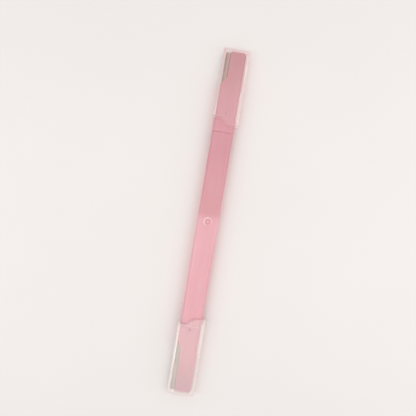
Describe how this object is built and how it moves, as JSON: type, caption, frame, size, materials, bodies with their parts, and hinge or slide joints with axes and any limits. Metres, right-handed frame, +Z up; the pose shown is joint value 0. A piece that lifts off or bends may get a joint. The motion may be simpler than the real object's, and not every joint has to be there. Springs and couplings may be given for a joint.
{
  "type": "eyebrow razor",
  "caption": "Slim pink bar-handled eyebrow razor with a short blade at one end and a long blade at the other, each under a clear push-on cap with an S-curved mouth.",
  "frame": {"origin": "middle of the razor's length and of the caps' width, on the surface that the caps lie on", "axes": "+Y along the razor to the short blade's end, +X to the spine side away from the blade edges, +Z up out of the front face"},
  "size_m": [0.0124, 0.16, 0.0064],
  "materials": {
    "handle_plastic": "pale pink translucent moulding, satin",
    "head_plastic": "pale pink translucent moulding, satin",
    "blade_steel": "ground stainless strip",
    "cap_plastic": "clear polished moulding"
  },
  "bodies": {
    "razor": {"handle": "handle_plastic", "short_blade_head": "head_plastic", "long_blade_head": "head_plastic", "short_blade": "blade_steel", "long_blade": "blade_steel", "short_blade_cover": "head_plastic", "long_blade_cover": "head_plastic"},
    "short_cap": {"short_blade_cap": "cap_plastic"},
    "long_cap": {"long_blade_cap": "cap_plastic"}
  },
  "joints": [
    {"name": "short_cap_slide", "type": "slide", "parent": "razor", "child": "short_cap", "axis": [0, 1, 0], "range_m": [0, 0.045]},
    {"name": "long_cap_slide", "type": "slide", "parent": "razor", "child": "long_cap", "axis": [0, -1, 0], "range_m": [0, 0.045]}
  ]
}
